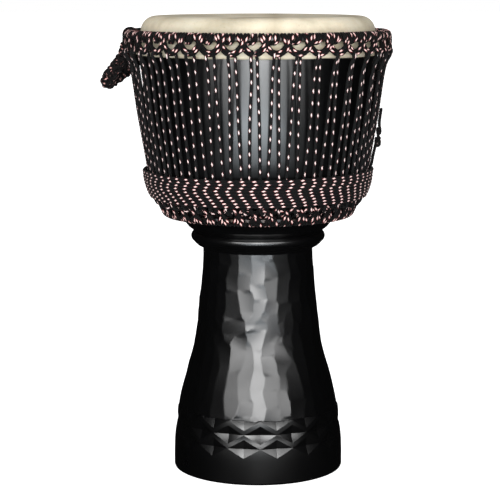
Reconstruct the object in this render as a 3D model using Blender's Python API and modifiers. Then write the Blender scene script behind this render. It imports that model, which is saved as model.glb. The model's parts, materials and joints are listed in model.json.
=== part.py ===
"""Rope-tuned djembe: carved shell, goat skin, three steel rings, cradle ropes, lacing and carrying handle.

Metres, +Z up. The origin is on the drum's axis at floor level, and the front of the drum faces -Y.
An azimuth is counted from the front towards +X. Heights are measured from the floor.
"""

import math

import bmesh
import bpy
from mathutils import Matrix, Vector

# Driving dimensions
HEIGHT = 0.635
SHELL_R = 0.1600
FOOT_R = 0.1190
STEM_R = 0.0778
EDGE_ROUND = 0.0190
GAP = 0.0003
SKIN_T = 0.0012
ROPE_R = 0.0022
STEPS = 40

# Loops: 39 pairs of runs, as counted over the front half and carried round
LOOPS = 39
PITCH = math.tau / LOOPS
FIRST_LOOP = math.radians(-1.6)
PAIR_HALF = 0.0037

# Rings: (radius of the ring, height, radius of the rod)
FLESH_RING = (SHELL_R + GAP + SKIN_T + GAP + 0.0033, 0.5870, 0.0033)
CROWN_RING = (0.1762, 0.6090, 0.0035)
BOTTOM_RING = (0.1272, 0.3665, 0.0035)
CROWN_SLEEVE_R = 0.0085
BOTTOM_SLEEVE_R = 0.0080

# Each cradle loop's bar, that the lacing hooks over, and its root on the ring: radius, height, half width
UPPER_BAR = (0.1790, 0.5868, 0.0064)
UPPER_ROOT = (0.1784, 0.6020, 0.0090)
LOWER_BAR = (0.1384, 0.3838, 0.0062)
LOWER_ROOT = (0.1290, 0.3726, 0.0076)

# How far the lacing stands off a bar as it hooks over: in front, above or below, and behind a leaning bar
HOOK = (0.0056, 0.0088, 0.0062)

# Lacing tail beside the right-hand silhouette
TAIL_AZIMUTH = math.radians(90.0)
KNOT_R = 0.0062

# Carrying handle, centred on one loop and legged through the spaces one and a half loops away
HANDLE_LOOP = -11
HANDLE_AZIMUTH = FIRST_LOOP + HANDLE_LOOP * PITCH
HANDLE_LEG_HALF = CROWN_RING[0] * math.sin(1.5 * PITCH)
HANDLE_AXIS_OUT = CROWN_RING[0] * math.cos(1.5 * PITCH)
HANDLE_EYE_R = 0.0117
HANDLE_GRIP_R = 0.0112


def clear_scene():
    for item in list(bpy.data.objects):
        bpy.data.objects.remove(item, do_unlink=True)


def polar(radius, azimuth, height):
    """A point at a radius, azimuth and height round the drum's axis."""
    return Vector((radius * math.sin(azimuth), -radius * math.cos(azimuth), height))


def arc(centre, radius, start, end, count):
    """Points (r, z) along an arc, both ends included, angles in degrees."""
    points = []
    for i in range(count + 1):
        a = math.radians(start + (end - start) * i / count)
        points.append((centre[0] + radius * math.cos(a), centre[1] + radius * math.sin(a)))
    return points


def smooth(keys, parts):
    """A Catmull-Rom curve through the keys, with a number of parts between two keys."""
    padded = [keys[0]] + list(keys) + [keys[-1]]
    points = []
    for i in range(1, len(padded) - 2):
        before, here, there, after = (Vector(k) for k in padded[i - 1 : i + 3])
        for j in range(parts):
            t = j / parts
            point = 0.5 * (
                2 * here
                + (there - before) * t
                + (2 * before - 5 * here + 4 * there - after) * t**2
                + (3 * here - before - 3 * there + after) * t**3
            )
            points.append(tuple(point))
    return points + [tuple(keys[-1])]


def material(name, colour, roughness, metallic=0.0):
    mat = bpy.data.materials.new(name)
    mat.use_nodes = True
    shader = mat.node_tree.nodes["Principled BSDF"]
    shader.inputs["Base Color"].default_value = (*colour, 1.0)
    shader.inputs["Roughness"].default_value = roughness
    shader.inputs["Metallic"].default_value = metallic
    return mat


def add_object(name, mesh, mat, collection):
    item = bpy.data.objects.new(name, mesh)
    collection.objects.link(item)
    item.data.materials.clear()
    item.data.materials.append(mat)
    return item


def turned(name, profile, closed, mat, collection):
    """A profile of (r, z) points turned once round the Z axis."""
    bm = bmesh.new()
    verts = [bm.verts.new((r, 0.0, z)) for r, z in profile]
    for a, b in zip(verts, verts[1:]):
        bm.edges.new((a, b))
    if closed:
        bm.edges.new((verts[-1], verts[0]))
    mesh = bpy.data.meshes.new(name)
    bm.to_mesh(mesh)
    bm.free()
    item = add_object(name, mesh, mat, collection)
    screw = item.modifiers.new("Turn", "SCREW")
    screw.angle = math.tau
    screw.steps = STEPS
    screw.render_steps = STEPS
    screw.use_merge_vertices = True
    screw.merge_threshold = 0.0001
    screw.use_smooth_shade = True
    return item


def tube_mesh(name, points, radius, cyclic=False, widths=None, sides=1):
    """A closed mesh tube along straight stretches between the points, with its caps welded."""
    curve = bpy.data.curves.new(name, "CURVE")
    curve.dimensions = "3D"
    curve.bevel_depth = radius
    curve.bevel_resolution = sides
    curve.use_fill_caps = not cyclic
    spline = curve.splines.new("POLY")
    spline.points.add(len(points) - 1)
    spline.use_cyclic_u = cyclic
    for i, point in enumerate(points):
        spline.points[i].co = (*point, 1.0)
        if widths:
            spline.points[i].radius = widths[i] / radius
    source = bpy.data.objects.new(name + "_curve", curve)
    bpy.context.scene.collection.objects.link(source)
    evaluated = source.evaluated_get(bpy.context.evaluated_depsgraph_get())
    mesh = bpy.data.meshes.new_from_object(evaluated)
    bpy.data.objects.remove(source, do_unlink=True)
    bm = bmesh.new()
    bm.from_mesh(mesh)
    bmesh.ops.remove_doubles(bm, verts=bm.verts, dist=0.00001)
    bmesh.ops.recalc_face_normals(bm, faces=bm.faces)
    bm.to_mesh(mesh)
    bm.free()
    mesh.name = name
    return mesh


def merged(name, meshes):
    """Several meshes that don't touch, in one mesh."""
    bm = bmesh.new()
    for mesh in meshes:
        bm.from_mesh(mesh)
    joined = bpy.data.meshes.new(name)
    bm.to_mesh(joined)
    bm.free()
    return joined


def union(item, mesh, cutters):
    """Joins a second mesh to an object with a Boolean."""
    helper = bpy.data.objects.new(item.name + "_joined", mesh)
    cutters.objects.link(helper)
    helper.location = item.location
    helper.rotation_euler = item.rotation_euler
    helper.hide_render = True
    helper.display_type = "WIRE"
    join = item.modifiers.new("Join", "BOOLEAN")
    join.operation = "UNION"
    join.solver = "EXACT"
    join.object = helper


def round_ring(name, ring, mat, collection):
    """A steel ring of round rod, with its seams on the same azimuths as the turned parts."""
    radius, height, rod = ring
    return turned(name, arc((radius, height), rod, 90, -270, 6)[:-1], True, mat, collection)


def shell_outline():
    """The outside runs from the bearing edge down to the foot, and the bore runs back up."""
    top = HEIGHT - SKIN_T - GAP
    edge = arc((SHELL_R - EDGE_ROUND, top - EDGE_ROUND), EDGE_ROUND, 90, 0, 3)
    bowl = [(SHELL_R, 0.5700), (0.1580, 0.5000)] + smooth(
        [(0.1546, 0.4600), (0.1502, 0.4300), (0.1395, 0.4000), (0.1158, 0.3670), (0.0975, 0.3440)],
        2,
    )
    bead = arc((0.0860, 0.3300), 0.0078, 70, -60, 3) + [(0.0895, 0.3185), (STEM_R, 0.3095)]
    stem = smooth(
        [(0.0782, 0.2940), (0.0852, 0.2230), (0.0906, 0.1800), (0.1062, 0.1220), (0.1137, 0.0850)],
        2,
    )
    foot = [(FOOT_R, 0.0300), (FOOT_R, 0.0030), (FOOT_R - 0.0025, 0.0)]
    bore = smooth([(0.1050, 0.0), (0.0980, 0.0900), (0.0720, 0.1800), (0.0580, 0.3000)], 2)
    cup = smooth([(0.0600, 0.3450), (0.1040, 0.3920), (0.1320, 0.4500), (0.1405, 0.5500)], 2)
    cup.append((0.1425, 0.6200))
    return edge + bowl + bead + stem + foot + bore + cup


def skin_outline():
    """The outside of the skin, from its middle over the bearing edge and round the flesh ring."""
    outer = SHELL_R + GAP + SKIN_T
    bend = EDGE_ROUND + GAP + SKIN_T
    ring_r, ring_z, rod = FLESH_RING
    shoulder = arc((outer - bend, HEIGHT - bend), bend, 90, 0, 3)
    fold = arc((ring_r, ring_z), (rod + GAP) / math.cos(math.radians(22.5)), 180, 360, 4)
    return [(0.0, HEIGHT)] + shoulder + fold + [(ring_r + rod + GAP, ring_z + 0.0040)]


def sleeve_outline(ring, outer):
    """Rope wound on a ring, as a section that is open towards the drum, where the hitches cross."""
    radius, height, rod = ring
    outside = arc((radius, height), outer, 140, -140, 6)
    inside = arc((radius, height), (rod + GAP) / math.cos(math.radians(30)), -140, 140, 4)
    return outside + inside


def cradle(name, ring, outer, mat, collection):
    """Rope hitched all the way round a ring."""
    return turned(name, sleeve_outline(ring, outer), True, mat, collection)


def loops_mesh(name, root, bar, offset):
    """One rope loop for each pair of lacing runs, from its root on the ring to its bar."""
    corners = ((-1, root), (-1, bar), (1, bar), (1, root))
    loops = []
    for k in range(LOOPS):
        azimuth = FIRST_LOOP + (k + offset) * PITCH
        points = [polar(r, azimuth + side * half / r, z) for side, (r, z, half) in corners]
        loops.append(tube_mesh(f"{name}_{k}", points, ROPE_R, sides=0))
    return merged(name + "_loops", loops)


def lacing_points():
    """The lacing's whole route: over each upper loop, down, under each lower loop and up again."""
    reach, rise, lean = HOOK
    upper_r, upper_z = UPPER_BAR[:2]
    lower_r, lower_z = LOWER_BAR[:2]
    top = PAIR_HALF / upper_r
    bottom = PAIR_HALF / lower_r
    route = []
    for k in range(LOOPS):
        upper = FIRST_LOOP + k * PITCH
        lower = upper + PITCH / 2
        down = (upper + top, lower - bottom)
        up = (lower + bottom, upper + PITCH - top)
        route += [
            polar(upper_r, upper, upper_z + rise),
            polar(upper_r - reach, down[0], upper_z),
            polar(0.1533, run_azimuth(down, 0.4300), 0.4300),
            polar(0.1482, run_azimuth(down, 0.4030), 0.4030),
            polar(lower_r + reach, down[1], lower_z),
            polar(lower_r, lower, lower_z - rise),
            polar(lower_r - lean, up[0], lower_z),
            polar(0.1461, run_azimuth(up[::-1], 0.4030), 0.4030),
            polar(0.1533, run_azimuth(up[::-1], 0.4300), 0.4300),
            polar(0.1754, run_azimuth(up[::-1], 0.5720), 0.5720),
            polar(upper_r + reach, up[1], upper_z),
        ]
    return route


def run_azimuth(ends, height):
    """The azimuth of a straight run at a height, from its azimuths at the upper and lower bars."""
    share = (UPPER_BAR[1] - height) / (UPPER_BAR[1] - LOWER_BAR[1])
    return ends[0] + (ends[1] - ends[0]) * share


def wraps_outline():
    """Surplus rope wound round the foot of the lacing, as one turned solid of its outer shape."""
    outside = [(0.1596, 0.4270), (0.1614, 0.4245), (0.1606, 0.4140), (0.1570, 0.4010), (0.1520, 0.3890)]
    inside = [(0.1487, 0.3890), (0.1525, 0.4010), (0.1573, 0.4270)]
    return outside + inside


def tail_meshes():
    """The lacing's finishing end, led up outside the runs, with its stopper knot."""
    route = [(0.1604, 0.4322), (0.1652, 0.4550), (0.1690, 0.4680), (0.1700, 0.4860), (0.1726, 0.5090)]
    points = [polar(r, TAIL_AZIMUTH, z) for r, z in route]
    cord = tube_mesh("lacing_tail", points, ROPE_R, sides=2)
    bm = bmesh.new()
    bmesh.ops.create_uvsphere(
        bm, u_segments=12, v_segments=8, radius=KNOT_R, matrix=Matrix.Translation(points[2])
    )
    knot = bpy.data.meshes.new("tail_knot")
    bm.to_mesh(knot)
    bm.free()
    return cord, knot


def handle_points():
    """The braid's route in the handle's own axes: along the hinge, outwards and up from it."""
    half = [
        (1.00, 0.0088, -0.0083, 0.0022),
        (1.00, 0.0125, -0.0225, 0.0066),
        (0.94, 0.0185, -0.0390, 0.0086),
        (0.74, 0.0295, -0.0530, 0.0104),
        (0.42, 0.0400, -0.0635, HANDLE_GRIP_R),
        (0.14, 0.0448, -0.0682, HANDLE_GRIP_R),
    ]
    left = [(-along * HANDLE_LEG_HALF, out, up, width) for along, out, up, width in half]
    right = [(along * HANDLE_LEG_HALF, out, up, width) for along, out, up, width in reversed(half)]
    return left + right


def carry_handle(mat, collection, cutters):
    """A braided handle whose two eyes turn on the hitched crown ring."""
    route = handle_points()
    points = [Vector((along, -out, up)) for along, out, up, width in route]
    widths = [width for along, out, up, width in route]
    mesh = tube_mesh("carry_handle", points, HANDLE_GRIP_R, widths=widths, sides=2)
    item = add_object("carry_handle", mesh, mat, collection)
    item.location = polar(HANDLE_AXIS_OUT, HANDLE_AZIMUTH, CROWN_RING[1])
    item.rotation_euler = (0.0, 0.0, HANDLE_AZIMUTH)
    eyes = [eye_mesh(-HANDLE_LEG_HALF), eye_mesh(HANDLE_LEG_HALF)]
    union(item, merged("carry_handle_eyes", eyes), cutters)


def eye_mesh(along):
    """A rope eye whose axis is the hinge."""
    circle = [
        Vector((along, HANDLE_EYE_R * math.cos(a), HANDLE_EYE_R * math.sin(a)))
        for a in (math.tau * i / 20 for i in range(20))
    ]
    return tube_mesh("eye", circle, ROPE_R, cyclic=True)


def build():
    clear_scene()
    parts = bpy.data.collections.new("djembe")
    cutters = bpy.data.collections.new("cutters")
    bpy.context.scene.collection.children.link(parts)
    bpy.context.scene.collection.children.link(cutters)

    lacquer = material("black_lacquer", (0.012, 0.012, 0.013), 0.35)
    skin_mat = material("goat_skin", (0.62, 0.55, 0.42), 0.70)
    steel = material("ring_steel", (0.35, 0.35, 0.36), 0.40, 1.0)
    cradle_mat = material("cradle_rope", (0.030, 0.022, 0.024), 0.75)
    lacing_mat = material("lacing_rope", (0.040, 0.028, 0.030), 0.75)
    wrap_mat = material("wrap_rope", (0.055, 0.035, 0.038), 0.75)
    braid_mat = material("handle_braid", (0.050, 0.026, 0.026), 0.80)

    turned("shell", shell_outline(), True, lacquer, parts)
    skin = turned("goat_skin", skin_outline(), False, skin_mat, parts)
    thick = skin.modifiers.new("Thickness", "SOLIDIFY")
    thick.thickness = SKIN_T
    thick.offset = -1.0
    round_ring("flesh_ring", FLESH_RING, steel, parts)
    round_ring("crown_ring", CROWN_RING, steel, parts)
    round_ring("bottom_ring", BOTTOM_RING, steel, parts)
    upper = cradle("upper_loops", CROWN_RING, CROWN_SLEEVE_R, cradle_mat, parts)
    union(upper, loops_mesh("upper_loops", UPPER_ROOT, UPPER_BAR, 0.0), cutters)
    lower = cradle("lower_loops", BOTTOM_RING, BOTTOM_SLEEVE_R, cradle_mat, parts)
    union(lower, loops_mesh("lower_loops", LOWER_ROOT, LOWER_BAR, 0.5), cutters)
    lacing = tube_mesh("lacing_rope", lacing_points(), ROPE_R, cyclic=True)
    add_object("lacing_rope", lacing, lacing_mat, parts)
    turned("rope_wraps", wraps_outline(), True, wrap_mat, parts)
    cord, knot = tail_meshes()
    tail = add_object("lacing_tail", cord, lacing_mat, parts)
    union(tail, knot, cutters)
    carry_handle(braid_mat, parts, cutters)
    for item in parts.objects:
        item.data.shade_smooth()


build()
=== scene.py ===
# %% [markdown]
# # A rope-tuned djembe
# A djembe is a goblet-shaped hand drum. Its shell is carved from one log, and one long rope pulls a crown
# ring down over a goat skin. The frame, loaded first and never moved, gives the sizes and places.

# %% Load the frame
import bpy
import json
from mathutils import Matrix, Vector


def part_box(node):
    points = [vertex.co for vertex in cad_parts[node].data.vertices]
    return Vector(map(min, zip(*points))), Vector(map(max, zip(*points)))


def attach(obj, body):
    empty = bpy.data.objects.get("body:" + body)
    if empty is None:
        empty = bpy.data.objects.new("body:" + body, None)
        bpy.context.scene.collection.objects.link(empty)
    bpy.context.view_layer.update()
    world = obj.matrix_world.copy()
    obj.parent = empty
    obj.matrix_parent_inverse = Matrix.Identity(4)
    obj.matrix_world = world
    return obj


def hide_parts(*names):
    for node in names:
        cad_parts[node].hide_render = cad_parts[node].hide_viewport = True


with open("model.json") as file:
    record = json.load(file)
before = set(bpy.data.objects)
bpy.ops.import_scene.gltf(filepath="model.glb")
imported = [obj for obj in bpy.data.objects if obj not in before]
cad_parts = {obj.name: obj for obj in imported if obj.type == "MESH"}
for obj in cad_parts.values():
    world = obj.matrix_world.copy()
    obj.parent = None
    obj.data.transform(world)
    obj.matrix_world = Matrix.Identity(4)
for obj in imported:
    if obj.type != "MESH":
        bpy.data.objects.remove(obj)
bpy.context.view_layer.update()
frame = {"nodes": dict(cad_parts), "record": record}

import json
import math
from functools import partial

import bpy
import numpy as np
from mathutils import Vector

# %% [markdown]
# ## Camera
# The camera comes first, because everything made later is judged through it. A long lens from two and a
# half metres looks down a little, and a small shift keeps the drum's axis just right of the middle.

# %% Camera
CAMERA_PLACE = (0.0, -2.494, 0.6917)
CAMERA_TILT = math.radians(8.745)
CAMERA_LENS = 129.23
CAMERA_SENSOR = 36.0
CAMERA_SHIFT = -0.016


def in_scene(name, data):
    """A new object, linked into the scene."""
    made = bpy.data.objects.new(name, data)
    bpy.context.scene.collection.objects.link(made)
    return made


camera_data = bpy.data.cameras.new("camera")
camera_data.lens = CAMERA_LENS
camera_data.sensor_width = CAMERA_SENSOR
camera_data.shift_x = CAMERA_SHIFT
camera = in_scene("camera", camera_data)
camera.location = CAMERA_PLACE
camera.rotation_euler = (math.radians(90) - CAMERA_TILT, 0.0, 0.0)
bpy.context.scene.camera = camera
print("camera distance", round(-CAMERA_PLACE[1], 3), "m")

# %% [markdown]
# ## The drum's own measures
# A maker divides the crown ring into equal loops: here 39 pairs of runs, one pitch apart. The rings' places
# are read from the frame's nodes, so that rope and steel can't drift apart.

# %% Shared measures
LOOPS = 39
PITCH = math.tau / LOOPS
FIRST_LOOP = math.radians(-1.6)
ROPE_R = 0.0022


def ring_of(node):
    """(radius, height, rod radius) of a steel ring, whose rod is six-sided with corners up and down."""
    low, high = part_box(node)
    rod = (high[2] - low[2]) / 2
    return high[0] - rod * math.cos(math.radians(30)), (high[2] + low[2]) / 2, rod


CROWN, BOTTOM, FLESH = (ring_of(name) for name in ("crown_ring", "bottom_ring", "flesh_ring"))
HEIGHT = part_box("goat_skin")[1][2]
print("crown, bottom and flesh ring", [round(v * 1000, 1) for v in CROWN + BOTTOM + FLESH])


# %% Small helpers for points on a round drum
def polar(radius, azimuth, height):
    """A point round the drum's axis. The azimuth counts from the front, -Y, towards +X."""
    return (radius * math.sin(azimuth), -radius * math.cos(azimuth), height)


def round_axis(radius, azimuth, height, axis=1):
    """The same for whole arrays, stacked along the axis given."""
    x, y, z = np.broadcast_arrays(radius * np.sin(azimuth), -radius * np.cos(azimuth), height)
    return np.stack([x, y, z], axis)


def arc(centre, radius, start, end, count):
    """Points (r, z) along an arc, both ends included, angles in degrees."""
    angles = np.radians(np.linspace(start, end, count + 1))
    return [(centre[0] + radius * math.cos(a), centre[1] + radius * math.sin(a)) for a in angles]


def smooth_path(keys, step):
    """A smooth curve through the keys: centripetal Catmull-Rom, so tight bends don't overshoot."""
    keys = np.array(keys, dtype=float)
    first = 2 * keys[0] - keys[1]
    last = 2 * keys[-1] - keys[-2]
    padded = np.vstack([first, keys, last])
    pieces = []
    for p0, p1, p2, p3 in zip(padded, padded[1:], padded[2:], padded[3:]):
        t1 = max(np.linalg.norm(p1 - p0), 1e-6) ** 0.5
        t2 = t1 + max(np.linalg.norm(p2 - p1), 1e-6) ** 0.5
        t3 = t2 + max(np.linalg.norm(p3 - p2), 1e-6) ** 0.5
        count = max(2, math.ceil(np.linalg.norm(p2 - p1) / step))
        t = np.linspace(t1, t2, count + 1)[:-1, None]
        a1 = p0 * (t1 - t) / t1 + p1 * t / t1
        a2 = p1 * (t2 - t) / (t2 - t1) + p2 * (t - t1) / (t2 - t1)
        a3 = p2 * (t3 - t) / (t3 - t2) + p3 * (t - t2) / (t3 - t2)
        b1 = a1 * (t2 - t) / t2 + a2 * t / t2
        b2 = a2 * (t3 - t) / (t3 - t1) + a3 * (t - t1) / (t3 - t1)
        pieces.append(b1 * (t2 - t) / (t2 - t1) + b2 * (t - t1) / (t2 - t1))
    return np.vstack(pieces + [keys[-1:]])


def lengths_along(points):
    """How far each point is along its path."""
    return np.concatenate([[0.0], np.cumsum(np.linalg.norm(np.diff(points, axis=0), axis=1))])


# %% A node helper for both kinds of node tree
def node(tree, kind, inputs=(), **settings):
    """Adds a node, sets its options, and fills its inputs with values or with other nodes' sockets."""
    made = tree.nodes.new(kind)
    for name, value in settings.items():
        setattr(made, name, value)
    for socket, value in inputs:
        if isinstance(value, bpy.types.NodeSocket):
            tree.links.new(value, made.inputs[socket])
        else:
            made.inputs[socket].default_value = value
    return made


def maths(tree, operation, *values):
    """The result socket of a Math node."""
    return node(tree, "ShaderNodeMath", enumerate(values), operation=operation).outputs[0]


def xyz(tree, vector):
    """The results of a Separate XYZ node, by axis."""
    return node(tree, "ShaderNodeSeparateXYZ", [("Vector", vector)]).outputs


def new_material(name, **values):
    """A material with a Principled shader whose plain values are set on its own sockets."""
    made = bpy.data.materials.new(name)
    made.use_nodes = True
    shader = made.node_tree.nodes["Principled BSDF"]
    for socket, value in values.items():
        shader.inputs[socket.replace("_", " ")].default_value = value
    return made, made.node_tree, shader


def ramp(tree, value, *stops):
    """A colour ramp, with stops as (position, colour)."""
    made = node(tree, "ShaderNodeValToRGB", [("Fac", value)])
    elements = made.color_ramp.elements
    while len(elements) < len(stops):
        elements.new(0.5)
    for element, (position, colour) in zip(elements, stops):
        element.position = position
        element.color = (*colour, 1.0)
    return made.outputs["Color"]


def object_place(tree, stretch=None):
    """Object coordinates, stretched along the axes if asked."""
    place = node(tree, "ShaderNodeTexCoord").outputs["Object"]
    if stretch is None:
        return place
    return node(tree, "ShaderNodeMapping", [("Vector", place), ("Scale", stretch)]).outputs["Vector"]


def noise(tree, scale, detail=3.0, place=None, roughness=0.5):
    """A noise pattern on Object coordinates, or on the place given."""
    if place is None:
        place = object_place(tree)
    inputs = [("Vector", place), ("Scale", scale), ("Detail", detail), ("Roughness", roughness)]
    return node(tree, "ShaderNodeTexNoise", inputs).outputs["Fac"]


def mix(tree, factor, first, second, blend="MIX"):
    """Two colours mixed. A colour mix node keeps its colour sockets after its number and vector ones."""
    made = node(tree, "ShaderNodeMix", data_type="RGBA", blend_type=blend)
    for socket, value in ((0, factor), (6, first), (7, second)):
        if isinstance(value, bpy.types.NodeSocket):
            tree.links.new(value, made.inputs[socket])
        elif socket == 0:
            made.inputs[0].default_value = value
        else:
            made.inputs[socket].default_value = (*value, 1.0)
    return made.outputs[2]


def bump(tree, shader, height, strength, distance):
    """Gives the shader a bump from a height pattern."""
    inputs = [("Height", height), ("Strength", strength), ("Distance", distance)]
    made = node(tree, "ShaderNodeBump", inputs)
    tree.links.new(made.outputs["Normal"], shader.inputs["Normal"])


# %% [markdown]
# ## Black lacquer
# The outside is black satin lacquer: a dark base with a broad gloss, and a coat with a tighter one. Grain
# and slow changes in roughness break up the highlights, and a little wear shows on the rubbed crests.

# %% Lacquer material
PAINT = (0.0012, 0.0012, 0.0014)
lacquer, tree, shader = new_material(
    "black_lacquer", Base_Color=(*PAINT, 1.0), Coat_Weight=0.3, Coat_Roughness=0.18, Specular_IOR_Level=0.8
)
grain = noise(tree, 260.0, 4.0, object_place(tree, (1.0, 1.0, 0.12)), 0.6)
cloud = noise(tree, 14.0, 3.0)
spread = [("Value", cloud), ("From Min", 0.3), ("From Max", 0.7), ("To Min", 0.27), ("To Max", 0.33)]
rough = node(tree, "ShaderNodeMapRange", spread).outputs["Result"]
tree.links.new(rough, shader.inputs["Roughness"])
crest = node(tree, "ShaderNodeNewGeometry").outputs["Pointiness"]
speck = noise(tree, 55.0, 5.0, None, 0.7)
rubbed = maths(tree, "MULTIPLY", maths(tree, "GREATER_THAN", crest, 0.56), speck)
colour = ramp(tree, rubbed, (0.0, PAINT), (0.55, (0.003, 0.0028, 0.0026)), (0.8, (0.02, 0.015, 0.01)))
tree.links.new(colour, shader.inputs["Base Color"])
bump(tree, shader, grain, 0.03, 0.0004)
print("lacquer nodes", len(tree.nodes))

# %% [markdown]
# ## Bare wood inside
# Makers leave the bore unpainted, darkened with oil. It has rings from the tool and a long vertical grain.

# %% Inside wood material
TOOL_RINGS = 1900.0
inside_wood, tree, shader = new_material("inside_wood", Roughness=0.62, Specular_IOR_Level=0.3)
fibre = noise(tree, 6.0, 6.0, object_place(tree, (9.0, 9.0, 0.8)), 0.65)
oiled = [(0.25, (0.045, 0.022, 0.01)), (0.5, (0.13, 0.065, 0.03)), (0.8, (0.22, 0.12, 0.055))]
colour = ramp(tree, fibre, *oiled)
tree.links.new(colour, shader.inputs["Base Color"])
tool_rings = maths(tree, "SINE", maths(tree, "MULTIPLY", xyz(tree, object_place(tree))["Z"], TOOL_RINGS))
height = maths(tree, "ADD", maths(tree, "MULTIPLY", tool_rings, 0.35), fibre)
bump(tree, shader, height, 0.5, 0.0008)
print("inside wood nodes", len(tree.nodes))

# %% [markdown]
# ## The carved shell
# The shell is turned, then carved in two bands: gouge strokes down the stem, and diamond pits above the
# foot. It is one grid of rows and columns, whose radius comes from a rule. First the turned outline.

# %% Outline of the shell
SHELL_R = 0.16
SKIN_T = 0.0012
GAP = 0.0003
EDGE_ROUND = 0.019
FOOT_R = 0.119
STEM_R = 0.0778
SHELL_TOP = HEIGHT - SKIN_T - GAP
GOUGE_TOP = 0.314
GOUGE_END = 0.0885

edge_rows = arc((SHELL_R - EDGE_ROUND, SHELL_TOP - EDGE_ROUND), EDGE_ROUND, 90, 0, 7)
bowl_keys = [
    (SHELL_R, 0.61),
    (SHELL_R, 0.57),
    (0.158, 0.5),
    (0.1546, 0.46),
    (0.1502, 0.43),
    (0.1395, 0.4),
    (0.1158, 0.367),
    (0.0975, 0.344),
]
bowl_rows = [tuple(p) for p in smooth_path(bowl_keys, 0.0085)]
bead_rows = arc((0.086, 0.33), 0.0078, 70, -60, 10)
bead_rows += [(0.0882, 0.3208), (0.0842, 0.3174), (0.08, 0.3153)]
stem_keys = [(STEM_R, 0.3145), (0.0782, 0.294), (0.0852, 0.223), (0.0906, 0.18), (0.1062, 0.122)]
foot_keys = [(0.1137, 0.085), (0.1152, 0.064), (0.1175, 0.0494), (0.1188, 0.03), (0.119, 0.003)]
trunk = smooth_path(stem_keys + foot_keys, 0.002)
print("outline rows", len(edge_rows), len(bowl_rows), len(bead_rows), "trunk points", len(trunk))

# %% [markdown]
# ### Gouge strokes
# The carver's shallow gouge leaves columns of nearly flat facets: 28 round the narrow top, 36 lower down.
# Each column leans a little differently from one stroke to the next. The lowest of all these planes at each
# point gives flat faces, sharp zigzag ridges, and wedges where a column starts.

# %% Gouge strokes
UPPER_COLUMNS = 28
LOWER_COLUMNS = 36
CHANGE_Z = 0.21
CHANGE_SPREAD = 0.026
FADE = 0.085
STROKE_SHORT = 0.018
STROKE_LONG = 0.04
STROKE_DEPTH = 0.0007
STROKE_DRIFT = 0.25
STROKE_YAW = math.radians(2.6)
STROKE_LIP = 0.003
STROKE_TURNS_BACK = 0.8
COLUMN_REACH = 0.42
FAR = 9.0
gouge_rng = np.random.default_rng(7)


def trunk_radius(z):
    """The turned radius of stem and foot at a height."""
    return np.interp(-np.asarray(z), -trunk[:, 1], trunk[:, 0])


def stroke_marks():
    """One column's creases, as heights with the depth, sideways drift and yaw of the flat at each."""
    rows = []
    low = GOUGE_END - 0.02 - gouge_rng.uniform(0.0, STROKE_LONG)
    way = gouge_rng.choice([-1.0, 1.0])
    while low < GOUGE_TOP + STROKE_LONG:
        depth = gouge_rng.uniform(-STROKE_DEPTH, 0.0)
        drift = way * STROKE_DRIFT * gouge_rng.uniform(0.3, 1.0)
        yaw = gouge_rng.uniform(-STROKE_YAW, STROKE_YAW)
        if rows:
            rows.append((low - STROKE_LIP, depth, drift, rows[-1][3]))
        rows.append((low, depth, drift, yaw))
        low += gouge_rng.uniform(STROKE_SHORT, STROKE_LONG)
        way = -way if gouge_rng.uniform() < STROKE_TURNS_BACK else way
    return np.array(rows).T


gouge_columns = []
for count, fades in ((UPPER_COLUMNS, -1.0), (LOWER_COLUMNS, 1.0)):
    for i in range(count):
        change = CHANGE_Z + gouge_rng.uniform(-CHANGE_SPREAD, CHANGE_SPREAD)
        gouge_columns.append((i / count, 1.0 / count, fades, change, stroke_marks()))
stroke_ends = gouge_rng.uniform(-0.0012, 0.0012, UPPER_COLUMNS)


def gouged_radius(azimuth, z):
    """The carved radius over a grid of azimuths and heights."""
    base = trunk_radius(z)
    lowest = np.full((len(z), len(azimuth)), FAR)
    for start, share, fades, change, (heights, depth, drift, yaw) in gouge_columns:
        centre = (start + np.interp(z, heights, drift) * share) * math.tau
        turned = np.interp(z, heights, yaw)
        away = np.angle(np.exp(1j * (azimuth[None, :] - centre[:, None])))
        lifted = FADE * np.maximum(0.0, fades * (z - change))
        reach = (base + np.interp(z, heights, depth) + lifted) * np.cos(turned)
        flat = reach[:, None] / np.cos(np.clip(away - turned[:, None], -1.2, 1.2))
        lowest = np.minimum(lowest, np.where(np.abs(away) < COLUMN_REACH, flat, FAR))
    return lowest


print("gouge columns", len(gouge_columns), "creases", sum(c[4].shape[1] // 2 for c in gouge_columns))

# %% [markdown]
# ### Diamond pits
# A diamond takes four straight cuts, so a pit is a shallow upside-down pyramid. Rows sit half a diamond
# apart, and the gouge strokes end inside the top row. The grid is spaced so that every diamond's edges run
# from corner to corner of its cells, which keeps them crisp.

# %% Diamond pits
DIAMONDS = 16
CELLS_A_HALF = 12
COLUMNS = DIAMONDS * 2 * CELLS_A_HALF
ROW_STEP = 0.019 / 18
DIAMOND_HALF = ROW_STEP * CELLS_A_HALF
DIAMOND_ROWS = (0.0505, 0.0695, 0.0885)
DIAMOND_DEPTH = 0.0033
DIAMOND_START = math.radians(1.6)
GOUGE_DEPTH = 0.0009


def pit_depth(azimuth, z):
    """How deep the diamonds are cut, over a grid of azimuths and heights."""
    period = math.tau / DIAMONDS
    depth = np.zeros((len(z), len(azimuth)))
    for row, centre in enumerate(DIAMOND_ROWS):
        start = DIAMOND_START + (0.5 if row != 1 else 0.0) * period
        turned = (azimuth - start + period / 2) % period - period / 2
        share = np.abs(turned)[None, :] / (period / 2) + np.abs(z - centre)[:, None] / DIAMOND_HALF
        depth = np.maximum(depth, DIAMOND_DEPTH * np.clip(1.0 - share, 0.0, 1.0))
    return depth


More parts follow.
